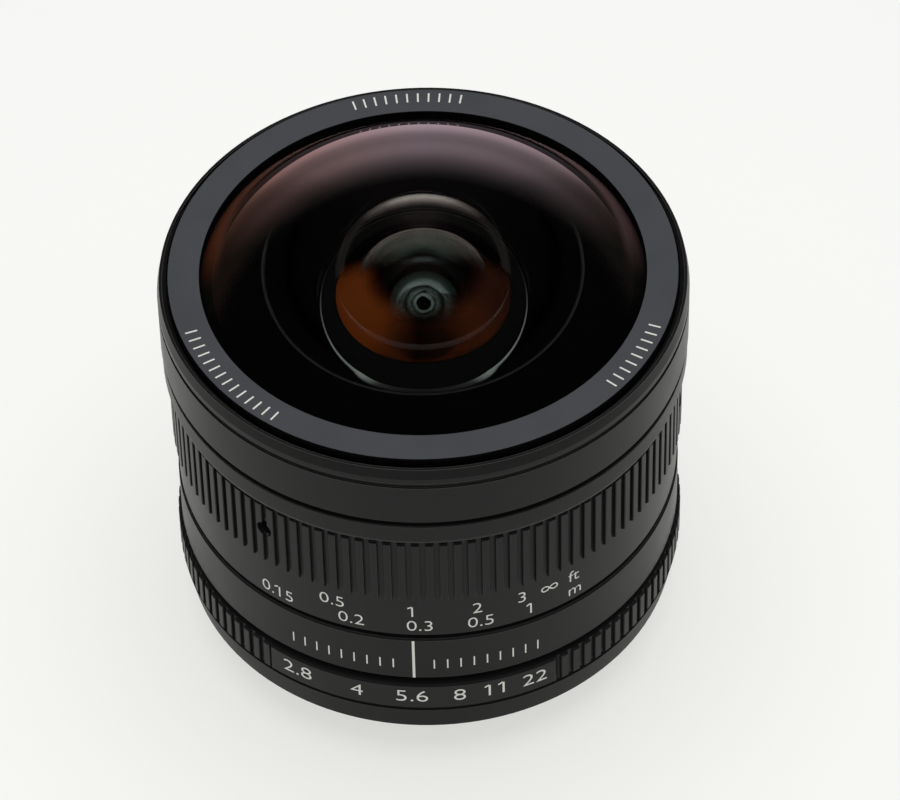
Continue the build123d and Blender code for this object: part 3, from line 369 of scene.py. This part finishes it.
def soft_black(name, colour, spot, roughness, texture_size):
    """A dull surface with a fine texture, such as a moulding, a lacquer or rubber."""
    made, tree, shader = new_material(name, roughness=roughness)
    place = add(tree, "ShaderNodeTexCoord")
    texture = add(tree, "ShaderNodeTexNoise", {"Scale": 1 / (texture_size * mm), "Detail": 3.0},
                  {"Vector": place.outputs["Object"]})
    tone = add(tree, "ShaderNodeMix", {"A": paint(colour), "B": paint(spot)},
               {"Factor": texture.outputs["Fac"]}, data_type="RGBA")
    tree.links.new(tone.outputs[2], shader.inputs["Base Color"])
    dullness = add(tree, "ShaderNodeMapRange", {"To Min": roughness - 0.05, "To Max": roughness + 0.08},
                   {"Value": texture.outputs["Fac"]})
    tree.links.new(dullness.outputs[0], shader.inputs["Roughness"])
    bump = add(tree, "ShaderNodeBump", {"Strength": 0.3, "Distance": 0.02 * mm},
               {"Height": texture.outputs["Fac"]})
    tree.links.new(bump.outputs[0], shader.inputs["Normal"])
    return made


# Polycarbonate: black with the eggshell face of its tool. Rubber: duller and deeper.
dress(soft_black("moulded_polycarbonate", "#101010", "#161616", 0.55, 0.3), "rear_baffle")
dress(soft_black("nitrile_rubber", "#0c0c0c", "#111111", 0.7, 0.4), "front_seal")

# The iris: seven thin steel blades that swing on pins, and the cam ring that drives them.
# They are sprayed with a matt coat. The glass in front magnifies them into the small pale ring
# round the dark hole, so their inner rims carry painted light and the rest painted shade.


def shade(material, tones):
    """Multiplies a material's base colour by a run of tones."""
    tree = material.node_tree
    base = tree.nodes["Principled BSDF"].inputs["Base Color"]
    product = add(tree, "ShaderNodeMix", {"Factor": 1.0}, {"A": base.links[0].from_socket, "B": tones},
                  data_type="RGBA", blend_type="MULTIPLY")
    tree.links.new(product.outputs[2], base)


# Matt blade coat with painted light: pale at the hole, fading into a painted slate-grey shade further out.
painted_light_radius, painted_shade_radius = 3.0, 5.2
blade_coat = soft_black("blade_coat_painted_light", "#eef2f2", "#dfe6e6", 0.6, 0.3)
blade_tree = blade_coat.node_tree
blade_place = add(blade_tree, "ShaderNodeTexCoord")
shade(blade_coat, ramp(blade_tree, distance_from_axis(blade_tree, blade_place),
                       painted_light_radius * mm, painted_shade_radius * mm,
                       [(0.0, "#ffffff"), (0.3, "#c4cccc"), (0.42, "#626e6b"), (1.0, "#2a3431")]))
dress(blade_coat, "iris_cam_ring", *["iris_blade_%d" % (number + 1) for number in range(7)])

# The glass in general: ground, polished and coated elements, seated in the tubes and held by rings.
# Their edges and seats are painted with matt black lacquer, so that no light runs round inside them.
# Where a face slants so much that only the black behind it shows, it is drawn as a mirror over black.
coat_index = 1.38
glass_sides = 256
coated_face, bowl_face, painted_face, ground_face = range(4)
edge_lacquer = soft_black("edge_lacquer", "#020202", "#040404", 0.6, 0.5)
edge_lacquer.node_tree.nodes["Principled BSDF"].inputs["Specular IOR Level"].default_value = 0.0
# Ground glass: the fine bevels at the rims of the two bowls are left bare, and show as thin grey rings.
ground_glass = soft_black("ground_glass_bevel", "#1c1c1b", "#131312", 0.5, 0.2)


def let_light_in(tree, surface):
    """Scattered light passes straight through to the inside, as bending it twenty times takes too long."""
    way = add(tree, "ShaderNodeLightPath")
    spread = add(tree, "ShaderNodeMath", {1: 0.5}, {0: way.outputs["Diffuse Depth"]},
                 operation="GREATER_THAN")
    inward = add(tree, "ShaderNodeMath", links={0: spread.outputs[0], 1: way.outputs["Is Shadow Ray"]},
                 operation="MAXIMUM")
    clear = add(tree, "ShaderNodeBsdfTransparent", {"Color": paint("#ffffff")})
    both = add(tree, "ShaderNodeMixShader", links={0: inward.outputs[0], 1: surface, 2: clear.outputs[0]})
    tree.links.new(both.outputs[0], tree.nodes["Material Output"].inputs["Surface"])


def coated_glass(name, ior, colour="#fbfcfa", film_thickness=0.0):
    """Clear polished glass. The film thickness is in nanometres."""
    made, tree, shader = new_material(name, roughness=0.0, transmission_weight=1.0, ior=ior,
                                      base_color=paint(colour), thin_film_thickness=film_thickness,
                                      thin_film_ior=coat_index)
    let_light_in(tree, shader.outputs[0])
    return made, tree, shader


def mirror_over_black(tree, ior, tint):
    """The reflection alone of a coated face: the coat's tint times the face's reflectance."""
    share = add(tree, "ShaderNodeFresnel", {"IOR": ior})
    tinted = add(tree, "ShaderNodeMix", {"Factor": 1.0}, {"A": tint, "B": share.outputs[0]},
                 data_type="RGBA", blend_type="MULTIPLY")
    return add(tree, "ShaderNodeBsdfAnisotropic", {"Roughness": 0.0}, {"Color": tinted.outputs[2]})


def slopes(tree, *runs):
    """The product of smooth slopes, each given as (value, where it starts, where it is full)."""
    product = None
    for value, start, full in runs:
        slope = add(tree, "ShaderNodeMapRange", {"From Min": start, "From Max": full}, {"Value": value},
                    interpolation_type="SMOOTHSTEP").outputs[0]
        if product:
            slope = add(tree, "ShaderNodeMath", links={0: product, 1: slope}, operation="MULTIPLY").outputs[0]
        product = slope
    return product


def arc(vertex, curve, start, end, kind, steps):
    """Corners of a spherical face, from radius start to radius end."""
    radii = [start + (end - start) * step / steps for step in range(steps)]
    return [(radius, vertex - curve + math.sqrt(curve * curve - radius * radius), kind) for radius in radii]


def turned_glass(name, outline, materials, body, node):
    """A lens element turned about the optical axis from (radius, height, kind of face) corners."""
    points, rings = [], []
    for radius, height, _ in outline:
        if radius == 0:
            rings.append([len(points)] * glass_sides)
            points.append((0, 0, height))
        else:
            rings.append(list(range(len(points), len(points) + glass_sides)))
            points += circle(radius, height, glass_sides)
    faces, kinds = [], []
    for step in range(len(outline) - 1):
        high, low = rings[step], rings[step + 1]
        for side in range(glass_sides):
            other = (side + 1) % glass_sides
            faces.append(list(dict.fromkeys([high[side], low[side], low[other], high[other]])))
            kinds.append(outline[step][2])
    piece = mesh_piece(name, points, faces, materials, kinds, smooth_angle=30)
    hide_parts(node)
    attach(piece, body)


# The front element: a deep meniscus of dense glass that stands out of the barrel like a dome.
# It is ground with a flat ring behind, and rests on that ring and on the rubber seal.
front_index, front_mirror_index = 1.70, 1.75
front_top, front_curve, front_edge = 61.8, 33.0, 25.9
front_edge_top, front_back = 49.25, 47.005
front_bowl_top, front_bowl_curve, front_bowl, front_bevel = 58.6, 15.5, 15.0, 15.22

# Front coat: the coating's thickness drifts across the dome, so its mirrored board runs from amber
# at the left over mauve to brown at the right.
tint_reach = 25
slant_starts, slant_full = 0.38, 0.44
front_coat, front_tree, front_shader = coated_glass("front_coated_glass", front_index)
front_place = add(front_tree, "ShaderNodeTexCoord")
front_apart = add(front_tree, "ShaderNodeSeparateXYZ", links={0: front_place.outputs["Object"]})
front_tint = ramp(front_tree, front_apart.outputs[0], -tint_reach * mm, tint_reach * mm,
                  [(0.02, "#ffa27c"), (0.2, "#ffc7c5"), (0.5, "#ffe0f0"), (0.8, "#f0d0db"),
                   (0.97, "#b2817a")])
front_tree.links.new(front_tint, front_shader.inputs["Specular Tint"])
front_mirror = mirror_over_black(front_tree, front_mirror_index, front_tint)

# At its far rim a painted reflection glows faintly, from brown to mauve. Elsewhere over black it has a thin
# haze.
rim_starts, rim_full = 22.3, 23.6
rim_near, rim_far = -3.0, 6.0
painted_glow_share = slopes(front_tree, (distance_from_axis(front_tree, front_place), rim_starts * mm, rim_full * mm),
                   (front_apart.outputs[1], rim_near * mm, rim_far * mm))
painted_glow_tint = ramp(front_tree, front_apart.outputs[0], -tint_reach * mm, tint_reach * mm,
                [(0.02, "#3e2014"), (0.12, "#432a22"), (0.35, "#564442"), (0.6, "#544648"),
                 (0.85, "#544242"), (0.98, "#342627")])
haze_and_painted_glow_tone = add(front_tree, "ShaderNodeMix", {"A": paint("#0a0b09")}, {"Factor": painted_glow_share, "B": painted_glow_tint},
               data_type="RGBA")
front_haze_and_painted_glow = add(front_tree, "ShaderNodeBsdfDiffuse", links={"Color": haze_and_painted_glow_tone.outputs[2]})
front_dark = add(front_tree, "ShaderNodeAddShader",
                 links={0: front_mirror.outputs[0], 1: front_haze_and_painted_glow.outputs[0]})
front_slant = add(front_tree, "ShaderNodeLayerWeight", {"Blend": 0.5})
front_share = add(front_tree, "ShaderNodeMapRange", {"From Min": slant_starts, "From Max": slant_full},
                  {"Value": front_slant.outputs["Facing"]})
front_both = add(front_tree, "ShaderNodeMixShader",
                 links={0: front_share.outputs[0], 1: front_shader.outputs[0], 2: front_dark.outputs[0]})
let_light_in(front_tree, front_both.outputs[0])

# Bowl coat: it mirrors more than bare glass would, which gives the bright arc over the second dome.
bowl_tint = (4.0, 3.1, 2.9, 1.0)
front_bowl_coat, _, front_bowl_shader = coated_glass("front_bowl_coated_glass", front_index)
front_bowl_shader.inputs["Specular Tint"].default_value = bowl_tint

front_outline = arc(front_top, front_curve, 0.0, front_edge, coated_face, steps=48)
front_outline += [(front_edge, front_edge_top, painted_face), (front_edge, front_back, painted_face),
                  (front_bevel, front_back, ground_face)]
front_outline += arc(front_bowl_top, front_bowl_curve, front_bowl, 0.0, bowl_face, steps=40)
front_outline += [(0.0, front_bowl_top, bowl_face)]
turned_glass("front_glass", front_outline, [front_coat, front_bowl_coat, edge_lacquer, ground_glass],
             "optics", "front_element")

# The rim of the tube round the second element: a fine lip of the aluminium carrier, drawn as a painted
# highlight. It shows through the front bowl as a thin pale ring, with painted light brightest at the two
# lower sides and painted shade nearly black at the back.
edge_sides = 192
edge_reach = 14.8
edge_profile = [(14.62, 46.30), (14.70, 46.36), (14.84, 46.38), (14.90, 46.30)]
painted_highlight_edge = soft_black("painted_highlight_turned_edge", "#8c8c88", "#787874", 0.4, 0.3)
edge_tree = painted_highlight_edge.node_tree
edge_place = add(edge_tree, "ShaderNodeTexCoord")
edge_apart = add(edge_tree, "ShaderNodeSeparateXYZ", links={0: edge_place.outputs["Object"]})
# Painted light and shade along the ring: pale at the front sides, dark at the back.
shade(painted_highlight_edge, ramp(edge_tree, edge_apart.outputs[1], -edge_reach * mm, edge_reach * mm,
                        [(0.0, "#383838"), (0.03, "#606060"), (0.057, "#ffffff"), (0.17, "#ffffff"),
                         (0.33, "#b0b0b0"), (0.47, "#505050"), (0.6, "#282828"), (1.0, "#383838")]))
edge_tree.nodes["Principled BSDF"].inputs["Specular IOR Level"].default_value = 0.1
edge_points = [point for radius, height in edge_profile for point in circle(radius, height, edge_sides)]
edge_faces = [(step * edge_sides + side, (step + 1) * edge_sides + side,
               (step + 1) * edge_sides + (side + 1) % edge_sides, step * edge_sides + (side + 1) % edge_sides)
              for step in range(len(edge_profile) - 1) for side in range(edge_sides)]
tube_edge = mesh_piece("tube_painted_highlight_edge", edge_points, edge_faces, [painted_highlight_edge], smooth_angle=40)
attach(tube_edge, "optics")

# The second element: a smaller meniscus, whose dome shows through the first. It is held by a
# threaded retainer, and the margin round its bowl is painted black from behind.
second_index, second_mirror_index = 1.65, 2.4
second_top, second_curve, second_edge = 49.55, 22.0, 13.0
second_edge_top, second_back = 45.298, 42.613
second_bowl_top, second_bowl_curve, second_bowl, second_bevel = 47.95, 9.2, 8.35, 8.45

# Second coat: its reflections are amber low down and rose high up.
second_coat, second_tree, second_shader = coated_glass("second_coated_glass", second_index)
second_place = add(second_tree, "ShaderNodeTexCoord")
second_reach = distance_from_axis(second_tree, second_place)
second_flat = add(second_tree, "ShaderNodeVectorMath", {1: (1.0, 1.0, 0.0)},
                  {0: second_place.outputs["Object"]}, operation="MULTIPLY")
second_way = add(second_tree, "ShaderNodeVectorMath", links={0: second_flat.outputs[0]},
                 operation="NORMALIZE")
second_aim = add(second_tree, "ShaderNodeSeparateXYZ", links={0: second_way.outputs[0]})
second_tint = ramp(second_tree, second_aim.outputs[1], -1.0, 1.0,
                   [(0.0, "#f07028"), (0.55, "#f88040"), (0.7, "#ffccbc"), (1.0, "#ffd4ca")])
second_tree.links.new(second_tint, second_shader.inputs["Specular Tint"])
second_mirror = mirror_over_black(second_tree, second_mirror_index, second_tint)

# The amber glow is a painted reflection: two crescents low in the dome, the left one stronger, with a dark
# gap between them.
glow_high, glow_low = 0.35, -0.15
glow_starts, glow_full = 4.6, 8.6
glow_share = slopes(second_tree, (second_aim.outputs[1], glow_high, glow_low),
                    (second_reach, glow_starts * mm, glow_full * mm))
painted_reflection_side = ramp(second_tree, second_aim.outputs[0], -1.0, 1.0,
                 [(0.04, "#54250c"), (0.2, "#50230a"), (0.34, "#2a1107"), (0.46, "#070302"),
                  (0.62, "#160904"), (0.82, "#34160a"), (0.98, "#24100a")])
painted_reflection_tone = add(second_tree, "ShaderNodeMix", {"A": paint("#000000")}, {"Factor": glow_share, "B": painted_reflection_side},
                data_type="RGBA")
# A diffuse coat that carries the painted amber reflection.
glow = add(second_tree, "ShaderNodeBsdfDiffuse", links={"Color": painted_reflection_tone.outputs[2]})
second_margin = add(second_tree, "ShaderNodeAddShader",
                    links={0: second_mirror.outputs[0], 1: glow.outputs[0]})
second_low = add(second_tree, "ShaderNodeMixShader",
                 links={0: glow_share, 1: second_shader.outputs[0], 2: glow.outputs[0]})

# The veil: a painted grey-green reflection in the upper half, pinker towards its rim.
veil_strength = 0.5
veil_low, veil_high = -0.1, 0.8
veil_starts, veil_full, veil_ends = 1.5, 3.6, 8.4
veil_share = slopes(second_tree, (second_aim.outputs[1], veil_low, veil_high),
                    (second_reach, veil_starts * mm, veil_full * mm))
veil_part = add(second_tree, "ShaderNodeMath", {1: veil_strength}, {0: veil_share}, operation="MULTIPLY")
painted_veil_tint = ramp(second_tree, second_reach, veil_starts * mm, veil_ends * mm,
                 [(0.0, "#1c2e2a"), (0.3, "#3a413b"), (0.75, "#4a4642"), (1.0, "#80726c")])
veil = add(second_tree, "ShaderNodeBsdfDiffuse", links={"Color": painted_veil_tint})
second_middle = add(second_tree, "ShaderNodeMixShader",
                    links={0: veil_part.outputs[0], 1: second_low.outputs[0], 2: veil.outputs[0]})

# Round the bowl the painted veil gives way to the blackened margin, which carries the mirror and the painted
# amber reflection.
margin_blend = 0.15
second_share = add(second_tree, "ShaderNodeMapRange",
                   {"From Min": (second_bowl - margin_blend) * mm,
                    "From Max": (second_bowl + margin_blend) * mm},
                   {"Value": second_reach})
second_both = add(second_tree, "ShaderNodeMixShader",
                  links={0: second_share.outputs[0], 1: second_middle.outputs[0],
                         2: second_margin.outputs[0]})
let_light_in(second_tree, second_both.outputs[0])

# Second bowl: plain polished glass that shows the inner elements and the iris.
second_bowl_coat = coated_glass("second_bowl_coated_glass", second_index)[0]
second_outline = arc(second_top, second_curve, 0.0, second_edge, coated_face, steps=32)
second_outline += [(second_edge, second_edge_top, painted_face), (second_edge, second_back, painted_face),
                   (second_bevel, second_back, ground_face)]
second_outline += arc(second_bowl_top, second_bowl_curve, second_bowl, 0.0, bowl_face, steps=32)
second_outline += [(0.0, second_bowl_top, bowl_face)]
turned_glass("second_glass", second_outline, [second_coat, second_bowl_coat, edge_lacquer, ground_glass],
             "optics", "second_element")

# The third to ninth elements: small lenses before and behind the iris, three pairs of them cemented,
# held in the carrier and in the rear cell. A film 190 nm thick gives them faint green and purple
# reflections, and their upright edges are lacquered black.
inner_index = 1.60
inner_film = 190.0
upright_limit = 0.03
inner_coat, inner_tree, _ = coated_glass("inner_coated_glass", inner_index, "#f6fbf8", inner_film)
inner_shape = add(inner_tree, "ShaderNodeNewGeometry")
inner_steep = add(inner_tree, "ShaderNodeSeparateXYZ", links={0: inner_shape.outputs["True Normal"]})
inner_level = add(inner_tree, "ShaderNodeMath", links={0: inner_steep.outputs[2]}, operation="ABSOLUTE")
inner_edge = add(inner_tree, "ShaderNodeMath", {1: upright_limit}, {0: inner_level.outputs[0]},
                 operation="LESS_THAN")
inner_lacquer = add(inner_tree, "ShaderNodeBsdfDiffuse", {"Color": paint("#050505")})
inner_output = inner_tree.nodes["Material Output"].inputs["Surface"]
inner_both = add(inner_tree, "ShaderNodeMixShader",
                 links={0: inner_edge.outputs[0], 1: inner_output.links[0].from_socket,
                        2: inner_lacquer.outputs[0]})
inner_tree.links.new(inner_both.outputs[0], inner_output)
dress(inner_coat, "third_element", "fourth_element", "fifth_element", "sixth_element", "seventh_element",
      "eighth_element", "ninth_element")

# The focus ring's marks: feet above and metres below, engraved and filled with off-white enamel
# that stands a little proud of the metal. The ring turns them past the index line.
mark_thickness = 0.03
capital_share = 0.73
stroke_thinning = 0.03
front_of_ring = math.radians(-90)

# Filled enamel: off-white and slightly cloudy, a little darker where it has picked up dirt.
enamel_cloud_size = 0.5
enamel, enamel_tree, enamel_shader = new_material("filled_enamel", roughness=0.5)
enamel_place = add(enamel_tree, "ShaderNodeTexCoord")
enamel_cloud = add(enamel_tree, "ShaderNodeTexNoise",
                   {"Scale": 1 / (enamel_cloud_size * mm), "Detail": 3.0},
                   {"Vector": enamel_place.outputs["Object"]})
enamel_tone = add(enamel_tree, "ShaderNodeMix", {"A": paint("#d8d8d4"), "B": paint("#c2c2bd")},
                  {"Factor": enamel_cloud.outputs["Fac"]}, data_type="RGBA")
enamel_tree.links.new(enamel_tone.outputs[2], enamel_shader.inputs["Base Color"])


def wrapped(flat_points, radius, turn):
    """Flat points (along, height, out) laid round a ring, centred on a turn from the front in degrees."""
    laid = []
    for along, height, out in flat_points:
        angle = front_of_ring + math.radians(turn) + along / radius
        laid.append(((radius + out) * math.cos(angle), (radius + out) * math.sin(angle), height))
    return laid


def slab(corners):
    """A flat shape from its (along, height) corners, as thick as the marks."""
    count = len(corners)
    flat = [(along, height, out) for out in (-mark_thickness, mark_thickness) for along, height in corners]
    faces = [tuple(range(2 * count - 1, count - 1, -1))]
    faces += [(side, (side + 1) % count, count + (side + 1) % count, count + side) for side in range(count)]
    return flat, faces


def words_mesh(words, capital_height, stretch):
    """Points and faces of words in the plain built-in typeface, centred on 0, with their foot at 0."""
    line = bpy.data.curves.new("words", "FONT")
    line.body = words
    line.size = capital_height / capital_share
    line.align_x = "CENTER"
    line.extrude = mark_thickness
    line.resolution_u = 6
    line.offset = -stroke_thinning
    holder = bpy.data.objects.new("words", line)
    bpy.context.scene.collection.objects.link(holder)
    bpy.context.view_layer.update()
    mesh = bpy.data.meshes.new_from_object(holder.evaluated_get(bpy.context.evaluated_depsgraph_get()))
    points = [(vertex.co.x * stretch, vertex.co.y, vertex.co.z) for vertex in mesh.vertices]
    faces = [list(polygon.vertices) for polygon in mesh.polygons]
    bpy.data.objects.remove(holder)
    bpy.data.curves.remove(line)
    bpy.data.meshes.remove(mesh)
    return points, faces


def flag_of_one(place, capital_height):
    """The short sloping stroke at the top left of a 1, which the typeface lacks."""
    stem = place - 0.06 * capital_height
    tip = stem - 0.24 * capital_height
    root = stem + 0.03
    return slab([(root, 0.99 * capital_height), (tip, 0.84 * capital_height),
                 (tip, 0.74 * capital_height), (root, 0.86 * capital_height)])


def number_row(radius, foot, numbers, capital_height, stretch):
    """Numbers round a ring: (words, turn from the front in degrees, places of its ones)."""
    parts = []
    for words, turn, *ones in numbers:
        shapes = [words_mesh(words, capital_height, stretch)]
        shapes += [flag_of_one(place, capital_height) for place in ones]
        for flat, faces in shapes:
            raised = [(along, foot + height, out) for along, height, out in flat]
            parts.append((wrapped(raised, radius, turn), faces))
    return parts


def marks_piece(name, parts, body):
    """One enamel piece from several (points, faces) sets."""
    points, faces = [], []
    for part_points, part_faces in parts:
        faces += [[corner + len(points) for corner in face] for face in part_faces]
        points += part_points
    piece = mesh_piece(name, points, faces, [enamel])
    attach(piece, body)


focus_radius = 28.95
feet_foot, metres_foot = 25.3, 22.9
focus_capital, focus_stretch = 1.8, 1.08
feet = [("0.5", -22.6), ("1", -4.2, 0.0), ("2", 10.4), ("3", 20.8), ("∞", 27.6), ("ft", 34.0)]
metres = [("0.15", -36.8, 0.15), ("0.2", -18.2), ("0.3", -2.5), ("0.5", 11.2), ("1", 22.9, 0.0), ("m", 34.3)]
marks_piece("focus_numbers", number_row(focus_radius, feet_foot, feet, focus_capital, focus_stretch)
            + number_row(focus_radius, metres_foot, metres, focus_capital, focus_stretch), "focus")

# The aperture ring's marks: f-numbers in the same enamel, on the smooth part of the ribbed ring.
# They are broader than the others, as in the photograph.
aperture_radius, aperture_foot = 29.5, 10.97
aperture_capital, aperture_stretch = 2.0, 1.2
aperture_numbers = [("2.8", -31.8), ("4", -17.2), ("5.6", -4.8), ("8", 5.9), ("11", 14.2, -0.8, 0.8),
                    ("22", 23.3)]
marks_piece("aperture_numbers", number_row(aperture_radius, aperture_foot, aperture_numbers,
                                           aperture_capital, aperture_stretch), "aperture")

# The index ring's marks: one long line that both scales are read against, and a row of short plain
# ticks to each side of it. They are engraved in the fixed ring and filled with the same enamel.
index_radius = 29.1
index_turn = -4.2
line_low, line_high, line_width = 14.8, 21.2, 0.3
tick_low, tick_high, tick_width = 16.4, 17.9, 0.16
first_tick, tick_step, ticks_a_side = 4.6, 3.0, 9


def tick(turn, low, high, width):
    """A short upright line on the index ring."""
    flat, faces = slab([(-width / 2, high), (-width / 2, low), (width / 2, low), (width / 2, high)])
    return wrapped(flat, index_radius, turn), faces


marks_piece("index_line", [tick(index_turn, line_low, line_high, line_width)], "barrel")
tick_turns = [index_turn + side * (first_tick + tick_step * step)
              for side in (-1, 1) for step in range(ticks_a_side)]
marks_piece("index_ticks", [tick(turn, tick_low, tick_high, tick_width) for turn in tick_turns], "barrel")

# The name ring's marks: three groups of plain short lines in the same enamel, filled into its flat
# top. They ride out with the glass when the lens is focused.
ring_top = 51.66
spoke_inner, spoke_outer, spoke_width = 26.7, 28.1, 0.2
spoke_step = 2.6
spoke_groups = [(80.0, 11), (-41.5, 9), (-161.0, 14)]


def spoke(azimuth):
    """A short radial line on the name ring's flat top."""
    flat, faces = slab([(spoke_inner, -spoke_width / 2), (spoke_outer, -spoke_width / 2),
                        (spoke_outer, spoke_width / 2), (spoke_inner, spoke_width / 2)])
    turn = math.radians(azimuth)
    laid = [(along * math.cos(turn) - across * math.sin(turn),
             along * math.sin(turn) + across * math.cos(turn), ring_top + out)
            for along, across, out in flat]
    return laid, faces


marks_piece("name_ring_ticks", [spoke(start + spoke_step * step) for start, count in spoke_groups
                                for step in range(count)], "optics")
